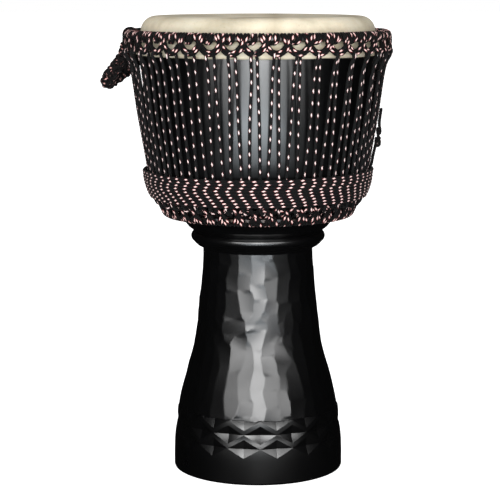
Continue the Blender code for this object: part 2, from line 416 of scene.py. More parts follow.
def carved_radius(azimuth, z):
    """Stem and foot: gouged above the strokes' ends, cut with diamonds below them."""
    ends = GOUGE_END + np.interp(azimuth % math.tau, np.linspace(0, math.tau, UPPER_COLUMNS), stroke_ends)
    gouged = gouged_radius(azimuth, z) - GOUGE_DEPTH
    turned = trunk_radius(z)[:, None]
    carved = np.where(z[:, None] > ends[None, :], gouged, turned - pit_depth(azimuth, z))
    return np.where(z[:, None] >= GOUGE_TOP, turned, carved)


print("columns", COLUMNS, "diamond", round(DIAMOND_HALF * 2000, 1), "mm tall")


# %% Grid of the shell
def shell_rows():
    """(r, z, carved) for every row, from the bearing edge down outside, under the foot and up the bore."""
    rows = [(r, z, False) for r, z in edge_rows + bowl_rows[1:] + bead_rows]
    heights = list(np.linspace(GOUGE_TOP + 0.0006, 0.1006, 98))
    first_fine = DIAMOND_ROWS[2] + 10 * ROW_STEP
    heights += list(first_fine - ROW_STEP * np.arange(61))
    rows += [(0.0, z, True) for z in heights]
    rows += [(FOOT_R, 0.02, False), (FOOT_R, 0.003, False), (FOOT_R - 0.001, 0.0008, False)]
    rows += [(FOOT_R - 0.0028, 0.0, False), (0.1065, 0.0, False)]
    bore = smooth_path([(0.105, 0.0015), (0.098, 0.09), (0.072, 0.18), (0.058, 0.3)], 0.03)
    cup_keys = [(0.06, 0.345), (0.104, 0.392), (0.132, 0.45), (0.1405, 0.55), (0.1425, 0.62)]
    cup = smooth_path(cup_keys, 0.022)
    return rows + [(r, z, False) for r, z in list(bore) + list(cup)]


def two_triangles(grid, middle, rows, columns):
    """Splits each cell of a closed grid along the diagonal that lies closer to the real surface."""
    index = np.arange(rows * columns).reshape(rows, columns)
    a, b = index.ravel(), np.roll(index, -1, 1).ravel()
    d, c = np.roll(index, -1, 0).ravel(), np.roll(index, (-1, -1), (0, 1)).ravel()
    first = np.linalg.norm((grid[a] + grid[c]) / 2 - middle, axis=1)
    second = np.linalg.norm((grid[b] + grid[d]) / 2 - middle, axis=1)
    split = (first <= second)[:, None]
    one = np.where(split, np.stack([a, d, c], 1), np.stack([a, d, b], 1))
    two = np.where(split, np.stack([a, c, b], 1), np.stack([b, d, c], 1))
    return np.stack([one, two], 1).reshape(-1, 3)


def shell_mesh():
    rows = shell_rows()
    azimuth = DIAMOND_START + np.arange(COLUMNS) * math.tau / COLUMNS
    half = math.pi / COLUMNS

    def surface(rows, azimuth):
        z = np.array([row[1] for row in rows])
        carved = np.array([row[2] for row in rows])
        radius = np.array([row[0] for row in rows])[:, None] * np.ones(len(azimuth))
        radius[carved] = carved_radius(azimuth, z[carved])
        return round_axis(radius, azimuth, z[:, None], 2).reshape(-1, 3)

    between = []
    for here, there in zip(rows, rows[1:] + rows[:1]):
        between.append(((here[0] + there[0]) / 2, (here[1] + there[1]) / 2, here[2] and there[2]))
    grid = surface(rows, azimuth)
    middle = surface(between, azimuth + half)
    faces = two_triangles(grid, middle, len(rows), COLUMNS)
    mesh = bpy.data.meshes.new("carved_shell")
    mesh.from_pydata(grid.tolist(), [], faces.tolist())
    foot_row = next(i for i, row in enumerate(rows) if row[1] == 0.0)
    cell_row = np.repeat(np.arange(len(rows)), COLUMNS * 2)
    inside = ((cell_row > foot_row) & (cell_row < len(rows) - 1)).astype(np.int32)
    mesh.polygons.foreach_set("material_index", inside)
    return mesh


# %% Make the shell
def add_piece(name, mesh, materials, slot, nodes, body="drum"):
    """A finished piece: in the scene, riding its body, in place of its plain nodes."""
    mesh.name = name
    piece = in_scene(name, mesh)
    mesh.materials.clear()
    for item in materials:
        mesh.materials.append(item)
    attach(piece, body)
    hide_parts(*nodes)
    mesh.calc_loop_triangles()
    print(name, "triangles", len(mesh.loop_triangles))
    return piece


SHARP_FROM = math.radians(10.5)
mesh = shell_mesh()
mesh.shade_smooth()
mesh.set_sharp_from_angle(angle=SHARP_FROM)
add_piece("carved_shell", mesh, [lacquer, inside_wood], "black_lacquer", ["shell"])

# %% [markdown]
# ## Goat skin
# The hide is cream with grey and olive clouds, fine hair roots, and a darker line where the spine ran. All
# of it is mixed from noise at different sizes.

# %% Skin material
goat_skin, tree, shader = new_material(
    "goat_skin",
    Roughness=0.58,
    Specular_IOR_Level=0.35,
    Subsurface_Weight=0.12,
    Subsurface_Radius=(0.004, 0.0025, 0.0015),
)
place = object_place(tree)
cloud = noise(tree, 16.0, 5.0, place, 0.62)
patch = noise(tree, 5.5, 3.0, place, 0.5)
fine = noise(tree, 420.0, 3.0, place, 0.6)
cream = ramp(tree, cloud, (0.3, (0.5, 0.44, 0.33)), (0.5, (0.68, 0.62, 0.5)), (0.72, (0.8, 0.75, 0.64)))
grey = ramp(tree, patch, (0.36, (0.47, 0.46, 0.39)), (0.62, (1.0, 0.97, 0.9)))
mottled = mix(tree, 0.75, cream, grey, "MULTIPLY")
roots = ramp(tree, fine, (0.3, (0.55, 0.5, 0.42)), (0.38, (1.0, 1.0, 1.0)))
freckled = mix(tree, 0.35, mottled, roots, "MULTIPLY")
SPINE_X = 0.04
across = maths(tree, "ADD", xyz(tree, place)["X"], -SPINE_X)
wander = maths(tree, "MULTIPLY_ADD", patch, 0.03, across)
spine = ramp(tree, maths(tree, "ABSOLUTE", wander), (0.0, (0.6, 0.55, 0.46)), (0.022, (1.0, 1.0, 1.0)))
tree.links.new(mix(tree, 0.6, freckled, spine, "MULTIPLY"), shader.inputs["Base Color"])
bump(tree, shader, maths(tree, "ADD", cloud, maths(tree, "MULTIPLY", fine, 0.4)), 0.25, 0.0006)
print("skin nodes", len(tree.nodes))

# %% [markdown]
# The skin is laid on wet and dries hard. Its middle line runs over the bearing edge, down the wall, round
# the flesh ring and up to the trimmed edge, and is offset both ways for the thickness. Wet skin puckers and
# a knife never trims evenly, so the fold and the edge wander.

# %% Skin shape
SKIN_COLUMNS = 312
TRIM_ABOVE_RING = 0.0165
FLAP_LEAN = 0.0028
PUCKER = 0.00025
TRIM_WANDER = 0.0012
FOLD_WANDER = 0.0004


def skin_line():
    """(r, z) along the middle of the sheet's thickness."""
    bend = EDGE_ROUND + GAP + SKIN_T / 2
    ring_r, ring_z, rod = FLESH
    wrap = rod + GAP + SKIN_T / 2
    flat = [(r, HEIGHT - SKIN_T / 2) for r in np.linspace(0.0, SHELL_R - EDGE_ROUND, 26)[:-1]]
    shoulder = arc((SHELL_R - EDGE_ROUND, SHELL_TOP - EDGE_ROUND), bend, 90, 0, 10)
    wall = [(shoulder[-1][0], z) for z in np.linspace(shoulder[-1][1], ring_z + 0.004, 9)[1:]]
    fold = arc((ring_r, ring_z), wrap, 180, 360, 12)
    up = np.linspace(0.2, 1.0, 5)
    flap = [(ring_r + wrap - FLAP_LEAN * t * t, ring_z + TRIM_ABOVE_RING * t) for t in up]
    return np.array(flat + shoulder + wall + fold + flap)


def skin_mesh():
    line = skin_line()
    ahead = np.gradient(line, axis=0)
    ahead /= np.linalg.norm(ahead, axis=1)[:, None]
    normal = np.stack([-ahead[:, 1], ahead[:, 0]], 1)
    normal[0] = (0.0, 1.0)
    outer = line + normal * SKIN_T / 2
    inner = line - normal * SKIN_T / 2
    rim = line[-1:] + ahead[-1:] * SKIN_T * 0.35
    profile = np.vstack([outer, rim, inner[::-1]])
    azimuth = np.arange(SKIN_COLUMNS) * math.tau / SKIN_COLUMNS
    skin_rng = np.random.default_rng(3)
    ripple = np.zeros(SKIN_COLUMNS)
    for turns in (5, 9, 14, 23, 31):
        ripple += np.cos(turns * azimuth + skin_rng.uniform(0, math.tau)) * skin_rng.uniform(0.2, 0.5)
    r, z = profile.T
    low = np.clip((FLESH[1] - 0.001 - z) / 0.004, 0.0, 1.0)
    flapped = (r > FLESH[0] + 0.0005) * np.clip((z - FLESH[1]) / TRIM_ABOVE_RING, 0.0, 1.0)
    wall = (r > SHELL_R - 0.001) * (z < HEIGHT - 0.014) * (z > FLESH[1] + 0.006)
    pucker = PUCKER * np.cos(LOOPS * (azimuth - FIRST_LOOP)) + PUCKER * 0.3 * ripple
    z = profile[:, 1:2] + low[:, None] * -FOLD_WANDER * ripple + flapped[:, None] * TRIM_WANDER * ripple
    radius = profile[:, 0:1] + wall[:, None] * 0.4 * (pucker + PUCKER)
    points = round_axis(radius, azimuth, z, 2)
    rings = points[1:-1].reshape(-1, 3)
    top = len(rings)
    index = np.arange(top).reshape(-1, SKIN_COLUMNS)
    after = np.roll(index, -1, 1)
    faces = np.stack([index[:-1], index[1:], after[1:], after[:-1]], 2).reshape(-1, 4).tolist()
    for a, b, c, d in zip(*(row.tolist() for row in (index[0], after[0], index[-1], after[-1]))):
        faces += [(top, a, b), (top + 1, d, c)]
    poles = [(0.0, 0.0, profile[0][1]), (0.0, 0.0, profile[-1][1])]
    mesh = bpy.data.meshes.new("skin")
    mesh.from_pydata(rings.tolist() + poles, [], faces)
    return mesh


mesh = skin_mesh()
mesh.shade_smooth()
skin = add_piece("drum_skin", mesh, [goat_skin], "goat_skin", ["goat_skin"])

# %% [markdown]
# ## Steel rings
# Three rings of round rod hold the rope. The frame's own nodes stay and only get a finish: mild steel gone
# dark in the air, with brown rust starting in patches.

# %% Steel material
steel, tree, shader = new_material("ring_steel", Metallic=1.0)
spots = noise(tree, 70.0, 5.0, None, 0.7)
rust = ramp(tree, spots, (0.42, (0.1, 0.1, 0.105)), (0.66, (0.06, 0.035, 0.022)))
tree.links.new(rust, shader.inputs["Base Color"])
scratch = noise(tree, 900.0, 2.0)
tree.links.new(maths(tree, "MULTIPLY_ADD", scratch, 0.35, 0.25), shader.inputs["Roughness"])
bump(tree, shader, scratch, 0.15, 0.0002)
for ring in ("flesh_ring", "crown_ring", "bottom_ring"):
    for material_slot in frame["nodes"][ring].material_slots:
        material_slot.material = steel
print("steel on three rings")

# %% [markdown]
# ## Rope, as a finish
# The rope is a 4.4 mm braid of black polyester over a core, with two pinkish white tracers edged in red, on
# opposite sides. The pattern is worked out from two numbers in the mesh's UV map: how far round the rope a
# point is, and how far along it. The fine black strands cross over and under in turn. A tracer is thicker
# and comes up at each fourth crossing, as one long fleck every 16 mm, round bends too.

# %% Rope material
FLECK_STEP = 0.016
BRAID_TURN = 2 * FLECK_STEP
TRACER_STRANDS = 4
FINE_STRANDS = 8
RED_WIDE = 0.18
FLECK_END = 0.08


def weave(tree, where, strands, repeat):
    """Places across a right and a left strand, and whether the right one is up, as each repeat brings."""
    calc = partial(maths, tree)
    around = calc("MULTIPLY_ADD", where["X"], strands, 0.5)
    along = calc("MULTIPLY", where["Y"], strands / BRAID_TURN)
    right = calc("ADD", around, along)
    left = calc("SUBTRACT", around, along)
    cell = calc("ADD", calc("FLOOR", right), calc("FLOOR", left))
    over = calc("LESS_THAN", calc("FLOORED_MODULO", cell, repeat), 0.5)
    return right, left, over


def rope_material(name, dark, light, white, red):
    """A braided rope's finish. dark is the painted shade in the black strands' valleys and light the painted
    sheen on their tops.
    """
    made, tree, shader = new_material(
        name, Roughness=0.68, Specular_IOR_Level=0.12, Sheen_Weight=0.04, Sheen_Roughness=0.4
    )
    calc = partial(maths, tree)
    where = xyz(tree, node(tree, "ShaderNodeUVMap", uv_map="UVMap").outputs[0])
    right, left, over = weave(tree, where, TRACER_STRANDS, 4.0)
    strand = calc("FLOORED_MODULO", right, TRACER_STRANDS / 2)
    off_middle = calc("ABSOLUTE", calc("SUBTRACT", strand, 0.5))
    from_end = calc("PINGPONG", left, 0.5)
    length = calc("MULTIPLY", calc("GREATER_THAN", from_end, FLECK_END), over)
    tracer = calc("MULTIPLY", calc("LESS_THAN", off_middle, 0.5), length)
    is_white = calc("MULTIPLY", calc("LESS_THAN", off_middle, 0.5 - RED_WIDE), tracer)
    right, left, over = weave(tree, where, FINE_STRANDS, 2.0)
    top_right = calc("MULTIPLY", calc("PINGPONG", right, 0.5), over)
    under = calc("SUBTRACT", 1.0, over)
    top_left = calc("MULTIPLY", calc("PINGPONG", left, 0.5), under)
    crown = calc("MULTIPLY", calc("ADD", top_right, top_left), 2.0)
    fluff = noise(tree, 900.0, 2.0)
    # Painted shade and sheen: the strands' height darkens the black strands' valleys and lightens their tops
    # in the colour
    painted_shade_and_sheen = calc("MULTIPLY", crown, calc("MULTIPLY_ADD", fluff, 0.8, 0.5))
    black = ramp(tree, painted_shade_and_sheen, (0.15, dark), (0.85, light))
    reds = mix(tree, tracer, black, red)
    # Painted shade: the white tracer is darkened in its valleys too
    white_with_painted_shade = ramp(tree, painted_shade_and_sheen, (0.0, tuple(0.62 * c for c in white)), (0.45, white))
    tree.links.new(mix(tree, is_white, reds, white_with_painted_shade), shader.inputs["Base Color"])
    bump(tree, shader, crown, 0.45, 0.0005)
    return made


# Each list: the painted valley shade and the painted top sheen of the black strands, then the tracer's white
# and red
ROPE_COLOURS = {
    "tuning": [(0.001, 0.0009, 0.001), (0.014, 0.014, 0.0145), (0.95, 0.76, 0.73), (0.13, 0.016, 0.02)],
    "cradle": [(0.0008, 0.0006, 0.0007), (0.009, 0.008, 0.008), (0.88, 0.6, 0.56), (0.19, 0.016, 0.02)],
    "wrap": [(0.0008, 0.0007, 0.0008), (0.012, 0.011, 0.0115), (0.92, 0.68, 0.65), (0.18, 0.016, 0.02)],
    "handle": [(0.0008, 0.0006, 0.0007), (0.012, 0.01, 0.01), (0.7, 0.42, 0.38), (0.15, 0.012, 0.016)],
}
braids = {use: rope_material(use + "_rope_braid", *colours) for use, colours in ROPE_COLOURS.items()}
print("rope finishes:", *(made.name for made in braids.values()))

# %% [markdown]
# ## Rope, as a shape
# One Geometry Nodes tree makes every rope. A route comes in as a chain of edges whose points carry how far
# along they are. The tree makes a curve of it, evens its steps, and sweeps a circle along it. How far round
# a point is counts from the side away from the drum, so the tracers face outwards. Each second point is
# lifted a little for the woven diamonds, and the ends close to a round tip.

# %% Rope tree
ROPE_SIDES = 10
ROPE_STEP = 0.002
WEAVE = 0.00016
TIP_WIDTH = 0.004
SEAM = 0.00004


def vectors(tree, operation, *values, output=0):
    """The result socket of a Vector Math node. Its number output is the second."""
    return node(tree, "ShaderNodeVectorMath", enumerate(values), operation=operation).outputs[output]


def store(tree, geometry, name, value, kind, domain="POINT"):
    """The geometry with a named attribute stored on it."""
    inputs = [("Geometry", geometry), ("Name", name), ("Value", value)]
    return node(tree, "GeometryNodeStoreNamedAttribute", inputs, data_type=kind, domain=domain).outputs[0]


def read(tree, name, kind="FLOAT"):
    """A named attribute's value."""
    return node(tree, "GeometryNodeInputNamedAttribute", [("Name", name)], data_type=kind).outputs[0]


def rope_tree():
    tree = bpy.data.node_groups.new("rope_along_a_route", "GeometryNodeTree")
    named = [("Geometry", "Geometry", None), ("Radius", "Float", ROPE_R), ("Step", "Float", ROPE_STEP)]
    named += [("Sides", "Int", ROPE_SIDES), ("Weave", "Float", WEAVE), ("Finish", "Material", None)]
    for name, kind, value in named:
        socket = tree.interface.new_socket(name, in_out="INPUT", socket_type="NodeSocket" + kind)
        if value is not None:
            socket.default_value = value
    tree.interface.new_socket("Geometry", in_out="OUTPUT", socket_type="NodeSocketGeometry")
    given = tree.nodes.new("NodeGroupInput").outputs

    calc, vector = partial(maths, tree), partial(vectors, tree)
    stored, found = partial(store, tree), partial(read, tree)

    def geometry(kind, *inputs, **settings):
        return node(tree, "GeometryNode" + kind, inputs, **settings).outputs[0]

    def flat(x, y):
        return node(tree, "ShaderNodeCombineXYZ", [("X", x), ("Y", y)]).outputs[0]

    sides = calc("ADD", given["Sides"], 1.0)
    chain = geometry("MeshLine", ("Count", sides), ("Offset", (1.0, 0.0, 0.0)))
    number = xyz(tree, geometry("InputPosition"))["X"]
    angle = calc("MULTIPLY", calc("DIVIDE", number, given["Sides"]), math.tau)
    x = calc("MULTIPLY", calc("COSINE", angle), given["Radius"])
    y = calc("MULTIPLY", calc("SINE", angle), given["Radius"])
    circle = geometry("SetPosition", ("Geometry", chain), ("Position", flat(x, y)))
    profile = geometry("MeshToCurve", ("Mesh", circle))

    rail = geometry("MeshToCurve", ("Mesh", given["Geometry"]))
    even = geometry("ResampleCurve", ("Curve", rail), ("Length", given["Step"]), mode="LENGTH")
    centred = stored(even, "centre", geometry("InputPosition"), "FLOAT_VECTOR")
    headed = stored(centred, "ahead", geometry("InputTangent"), "FLOAT_VECTOR")
    so_far = tree.nodes.new("GeometryNodeSplineParameter").outputs["Length"]
    whole = geometry("SplineLength")
    to_end = calc("MINIMUM", so_far, calc("SUBTRACT", whole, so_far))
    inward = calc("SUBTRACT", 1.0, calc("MINIMUM", calc("DIVIDE", to_end, given["Radius"]), 1.0))
    rounded = calc("SQRT", calc("SUBTRACT", 1.0, calc("MULTIPLY", inward, inward)))
    width = ("Scale", calc("MAXIMUM", rounded, TIP_WIDTH))
    ends = ("Fill Caps", False)
    swept = geometry("CurveToMesh", ("Curve", headed), ("Profile Curve", profile), width, ends)

    index = geometry("InputIndex")
    row = calc("FLOOR", calc("DIVIDE", calc("ADD", index, 0.5), sides))
    column = calc("SUBTRACT", index, calc("MULTIPLY", row, sides))
    odd = calc("FLOORED_MODULO", calc("ADD", row, column), 2.0)
    lifted = stored(swept, "lift", calc("SUBTRACT", calc("MULTIPLY", odd, 2.0), 1.0), "FLOAT")
    centre, ahead = found("centre", "FLOAT_VECTOR"), found("ahead", "FLOAT_VECTOR")
    from_centre = vector("SUBTRACT", geometry("InputPosition"), centre)
    from_axis = vector("NORMALIZE", vector("MULTIPLY", centre, (1.0, 1.0, 0.0)))
    sideways = vector("CROSS_PRODUCT", ahead, from_axis)
    beside = vector("DOT_PRODUCT", from_centre, sideways, output=1)
    facing = vector("DOT_PRODUCT", from_centre, from_axis, output=1)
    around = calc("DIVIDE", calc("ARCTAN2", beside, facing), math.tau)
    turned = stored(lifted, "round", around, "FLOAT")
    mapped = stored(turned, "UVMap", flat(found("round"), found("mark")), "FLOAT2", "CORNER")
    joined = geometry("MergeByDistance", ("Geometry", mapped), ("Distance", SEAM))
    normal = geometry("InputNormal")
    amount = calc("MULTIPLY", found("lift"), given["Weave"])
    move = node(tree, "ShaderNodeVectorMath", [(0, normal), (3, amount)], operation="SCALE").outputs[0]
    woven = geometry("SetPosition", ("Geometry", joined), ("Offset", move))
    smooth = geometry("SetShadeSmooth", ("Geometry", woven))
    real = geometry("RealizeInstances", ("Geometry", smooth))
    finished = geometry("SetMaterial", ("Geometry", real), ("Material", given["Finish"]))
    node(tree, "NodeGroupOutput", [("Geometry", finished)])
    return tree


ROPE_TREE = rope_tree()
print("rope tree nodes", len(ROPE_TREE.nodes))


# %% From a route to a rope
def rope_mesh(name, routes, finish, step=ROPE_STEP, radius=ROPE_R, marks=None):
    """One plain mesh of rope along each route, made by the tree. marks default to the length along."""
    points = []
    edges = []
    along = []
    for i, route in enumerate(routes):
        start = len(points)
        points += [tuple(p) for p in route]
        edges += [(start + j, start + j + 1) for j in range(len(route) - 1)]
        along += list(lengths_along(np.array(route)) if marks is None else marks[i])
    mesh = bpy.data.meshes.new(name + "_route")
    mesh.from_pydata(points, edges, [])
    mesh.attributes.new("mark", "FLOAT", "POINT").data.foreach_set("value", along)
    source = in_scene(name + "_route", mesh)
    modifier = source.modifiers.new("Rope", "NODES")
    modifier.node_group = ROPE_TREE
    items = [item for item in ROPE_TREE.interface.items_tree if item.in_out == "INPUT"]
    sockets = {item.name: item.identifier for item in items}
    for socket, value in (("Step", step), ("Radius", radius), ("Finish", finish)):
        modifier[sockets[socket]] = value
    source.update_tag()
    evaluated = source.evaluated_get(bpy.context.evaluated_depsgraph_get())
    rope = bpy.data.meshes.new_from_object(evaluated)
    bpy.data.objects.remove(source, do_unlink=True)
    for extra in ("mark", "round", "lift", "centre", "ahead"):
        if extra in rope.attributes:
            rope.attributes.remove(rope.attributes[extra])
    print(name, "rope", round(sum(lengths_along(np.array(r))[-1] for r in routes), 2), "m")
    return rope


def rope_piece(name, routes, finish, slot, stands_for, body="drum", **settings):
    """A finished piece of rope, in place of the node it stands for."""
    mesh = rope_mesh(name, routes, finish, **settings)
    return add_piece(name, mesh, [finish], slot, [stands_for], body)


# %% [markdown]
# ## Crown: doubled rope hitched round the ring
# The cradle rope is laid double and hitched round the crown ring once for every loop. Between hitches it
# hangs in a shallow U, and the legs of neighbouring Us cross before they go over the ring. One extra turn
# fills the ring above each U. One period is repeated round the drum, for the upper and the lower strand.

# %% Crown route
CRADLE_ROPE_R = 0.0024
HITCH_STEP = 0.0021
CROWN_COIL = 0.0055
CROWN_LINK = 0.008
CROWN_U = {  # height, radius, half the hitch's width, shift of the extra turn, and rises of the leg
    "upper": (0.5922, 0.1806, 0.0028, -0.0019, (0.0016, 0.0062, 0.0112)),
    "lower": (0.5878, 0.1812, 0.0067, 0.0019, (0.001, 0.0042, 0.0086)),
}


def turner(ring, usual):
    """Gives places on a turn round a ring's rod, from the distance along the ring and the angle."""
    def turn(along, degrees, coil=usual):
        a = math.radians(degrees)
        return (along, ring[0] + coil * math.cos(a), ring[1] + coil * math.sin(a))

    return turn


def crown_period(strand):
    """(distance along the ring from the hitch, radius, height) over one period, from one U to the next."""
    half = CROWN[0] * PITCH / 2
    low, out, lobe, shift, rise = CROWN_U[strand]
    mid = half + shift
    turn = turner(CROWN, CROWN_COIL)
    return [
        (-half, out, low),
        (-half * 0.64, out + 0.0006, low + rise[0]),
        (-half * 0.32, out + 0.0016, low + rise[1]),
        (-0.0003, 0.1822, low + rise[2]),
        turn(lobe - 0.0012, 12),
        *[turn(lobe, a) for a in (50, 95, 140, 185)],
        turn(lobe + 0.0008, 230),
        turn((lobe + mid) / 2, 275, CROWN_COIL + 0.0006),
        turn(mid - 0.0006, 320, CROWN_COIL - 0.001),
        *[turn(mid, a) for a in (365, 410, 455, 500)],
        turn(mid - 0.0008, 540),
        turn(mid * 0.5, 552, CROWN_LINK),
        turn(0.0, 556, CROWN_LINK),
        turn(-lobe + 0.0008, 548, CROWN_LINK - 0.0012),
        *[turn(-lobe, a) for a in (500, 455, 410)],
        turn(-lobe + 0.0012, 372),
        (0.0003, 0.1786, low + rise[2]),
        (half * 0.32, out + 0.0006, low + rise[1]),
        (half * 0.64, out + 0.0003, low + rise[0]),
    ]


def round_the_drum(period, ring_r, first, step=0.0015):
    """Repeats a period at every loop and joins the last to the first, as one smooth route."""
    keys = []
    for k in range(LOOPS):
        for along, radius, height in period:
            keys.append(polar(radius, first + k * PITCH + along / ring_r, height))
    keys.append(keys[0])
    return smooth_path(keys, step)


hitched = {"step": HITCH_STEP, "radius": CRADLE_ROPE_R}
first = FIRST_LOOP + PITCH / 2
routes = [round_the_drum(crown_period(strand), CROWN[0], first) for strand in ("upper", "lower")]
rope_piece("crown_hitches", routes, braids["cradle"], "cradle_rope", "upper_loops", **hitched)

# %% [markdown]
# ## Lower cradle
# The bottom ring has the same hitches upside down, half a pitch round from the crown's. It is smaller, with
# no room for an extra turn: four strands fill each period. Its Us lean outwards against the bowl.

# %% Lower route
LOWER_COIL = 0.0057
BAR = {"upper": (0.1372, 0.3812), "lower": (0.1399, 0.385)}
LOWER_LOBE = {"upper": 0.0024, "lower": 0.007}
LEAN = math.radians(57)
PAIR_APART = 0.0019


def lower_period(strand):
    ring_r, ring_z, _ = BOTTOM
    half = ring_r * PITCH / 2
    (bar_r, bar_z), lobe = BAR[strand], LOWER_LOBE[strand]
    out = (math.sin(LEAN) * PAIR_APART, -math.cos(LEAN) * PAIR_APART)
    turn = turner(BOTTOM, LOWER_COIL)

    def down(along, share, side):
        """A point on a leg, a share of the way from the bar to the ring, in front or behind."""
        target_r, target_z = ring_r + LOWER_COIL * 0.8, ring_z + LOWER_COIL * 0.5
        r = bar_r + (target_r - bar_r) * share + side * out[0]
        return (along, r, bar_z + (target_z - bar_z) * share + side * out[1])

    return [
        down(-half, 0.0, 0.0),
        down(-half * 0.55, 0.12, 0.3),
        down(-0.0003, 0.55, 1.0),
        turn(lobe - 0.001, -8),
        *[turn(lobe, a) for a in (-50, -95, -140, -185)],
        turn(lobe, -225, LOWER_COIL + 0.0008),
        turn(0.0, -232, LOWER_COIL + 0.0022),
        turn(-lobe, -222, LOWER_COIL + 0.0008),
        *[turn(-lobe, a) for a in (-180, -135, -90, -45)],
        turn(-lobe + 0.001, -8),
        down(0.0003, 0.55, -1.0),
        down(half * 0.55, 0.12, -0.3),
    ]


routes = [round_the_drum(lower_period(strand), BOTTOM[0], FIRST_LOOP) for strand in ("upper", "lower")]
rope_piece("lower_hitches", routes, braids["cradle"], "cradle_rope", "lower_loops", **hitched)

# %% [markdown]
# ## Lacing
# One rope runs up and down round the drum. It comes up in front of a crown loop's lower strand, turns over
# between the two strands, goes down behind, and hooks under a lower loop half a pitch on.

# %% Lacing route
PAIR_HALF = 0.0037
RUN_TOP_Z = 0.5868
RUN_LOW_Z = 0.3838


def run_azimuth(ends, height):
    """The azimuth of a straight run at a height, from its azimuths at its upper and lower ends."""
    share = (RUN_TOP_Z - height) / (RUN_TOP_Z - RUN_LOW_Z)
    return ends[0] + (ends[1] - ends[0]) * share


def run(ends, *places):
    """Points on a straight run, each from its radius and height, and its sway if it has one."""
    return [polar(radius, run_azimuth(ends, z) + sum(sway), z) for radius, z, *sway in places]


def lacing_keys():
    keys = []
    top = PAIR_HALF / 0.179
    bottom = PAIR_HALF / 0.1384
    slack = np.random.default_rng(11)
    for k in range(LOOPS):
        upper = FIRST_LOOP + k * PITCH
        lower = upper + PITCH / 2
        down = (upper + top, lower - bottom)
        up = (upper + PITCH - top, lower + bottom)
        sway = slack.normal(0.0, 0.0004, 4) / 0.16
        keys += [
            polar(0.1776, upper - top * 0.35, 0.5903),
            polar(0.1762, upper + top * 0.45, 0.5903),
            polar(0.1757, down[0], 0.5852),
            *run(down, (0.1737, 0.576), (0.1714, 0.563, sway[0]), (0.164, 0.5, sway[1]), (0.1553, 0.442)),
            *run(down, (0.1533, 0.43), (0.1482, 0.403), (0.1456, 0.39)),
            polar(0.144, down[1], 0.3835),
            polar(0.1412, lower - bottom * 0.6, 0.378),
            polar(0.1377, lower, 0.3762),
            polar(0.1343, lower + bottom * 0.6, 0.3785),
            polar(0.1332, up[1], 0.3842),
            *run(up, (0.1375, 0.392), (0.1461, 0.403), (0.1533, 0.43), (0.1553, 0.442)),
            *run(up, (0.1654, 0.5, sway[2]), (0.175, 0.563, sway[3]), (0.179, 0.575)),
            polar(0.1832, run_azimuth(up, 0.582), 0.5822),
            polar(0.1846, up[0] + top * 0.05, 0.5875),
            polar(0.1826, up[0] + top * 0.25, 0.5904),
        ]
    keys.append(keys[0])
    return keys


routes = [smooth_path(lacing_keys(), 0.0018)]
rope_piece("lacing", routes, braids["tuning"], "lacing_rope", "lacing_rope", step=HITCH_STEP)

# %% [markdown]
# ## Wraps
# The rope left after tuning is wound nine times round the foot of the runs, in rows that follow the bowl
# inwards. Each turn is almost a whole number of flecks long, so they drift in slanting columns.

# %% Wraps route
WRAP_TURNS = 9
WRAP_TOP = 0.4247
WRAP_PITCH = 0.0043
WRAP_TRACERS = 62
WRAP_POINTS = 420
WRAP_START = math.radians(172)
WRAP_RADII = [(0.0, 0.1592), (0.6, 0.1588), (1.5, 0.158), (3.0, 0.1577)]
WRAP_RADII += [(4.5, 0.1566), (6.0, 0.1545), (7.5, 0.1518), (9.0, 0.1484)]
FLECK_DRIFT = [0.0, 0.18, 0.26, -0.2, -0.12, -0.05, 0.18, 0.36, 0.55, 0.62]


def wraps_route():
    turns = np.linspace(0.0, WRAP_TURNS, WRAP_TURNS * WRAP_POINTS)
    azimuth = WRAP_START - turns * math.tau
    radius = np.interp(turns, *zip(*WRAP_RADII))
    radius = radius + 0.00025 * np.sin(azimuth * 7 + 1.0) + 0.0002 * np.sin(azimuth * 17 + turns)
    height = WRAP_TOP - turns * WRAP_PITCH + 0.0003 * np.sin(azimuth * 3)
    height = height + 0.0002 * np.sin(azimuth * 11 + 2.0)
    phase = np.interp(turns, np.arange(len(FLECK_DRIFT)), FLECK_DRIFT)
    return round_axis(radius, azimuth, height), (turns * WRAP_TRACERS + phase) * FLECK_STEP


wrap, marks = wraps_route()
turned = {"step": HITCH_STEP, "marks": [marks]}
rope_piece("rope_wrap_turns", [wrap], braids["wrap"], "wrap_rope", "rope_wraps", **turned)

# %% [markdown]
# ## Tail
# The rope's end is tucked under the wraps, knotted twice and led up outside the runs. A knot's centre line
# is a trefoil, cut open where the rope comes in and goes out.

# %% Tail route
TAIL_AZIMUTH = math.radians(90)
KNOT_SIZE = 0.0021
KNOT_OPEN = 0.35


def tail_point(out, along, height):
    return np.array(polar(out, TAIL_AZIMUTH + along / 0.17, height))


def knot(centre_out, centre_z, size):
    """An overhand knot, from below to above, in the plane that faces outwards."""
    points = []
    for t in np.linspace(KNOT_OPEN, math.tau - KNOT_OPEN, 22):
        side = size * (math.sin(t) + 2 * math.sin(2 * t))
        rise = size * (math.cos(t) - 2 * math.cos(2 * t))
        depth = size * -1.25 * math.sin(3 * t)
        points.append(tail_point(centre_out + depth, side, centre_z + rise))
    return points


tucked = [(0.1545, 0.004, 0.42), (0.1586, 0.002, 0.431), (0.1604, 0.0, 0.442), (0.1622, -0.001, 0.45)]
loose = [(0.1688, 0.001, 0.486), (0.1698, 0.0, 0.497), (0.1714, -0.001, 0.5085)]
keys = [tail_point(*place) for place in tucked] + knot(0.1668, 0.4614, KNOT_SIZE)
keys += [tail_point(0.1674, 0.001, 0.469)] + knot(0.1682, 0.4762, KNOT_SIZE * 0.7)
keys += [tail_point(*place) for place in loose]
routes = [smooth_path(keys, 0.0012)]
rope_piece("lacing_end", routes, braids["tuning"], "lacing_rope", "lacing_tail", step=0.0016)

# %% [markdown]
# ## Carrying handle
# The handle is a round sinnet: eight strands plaited round a core. At each end two of them make an eye round
# the crown ring, bound by tight turns. It swings about the line through both eyes, so it rides on its own
# body, and its places are taken from that joint.

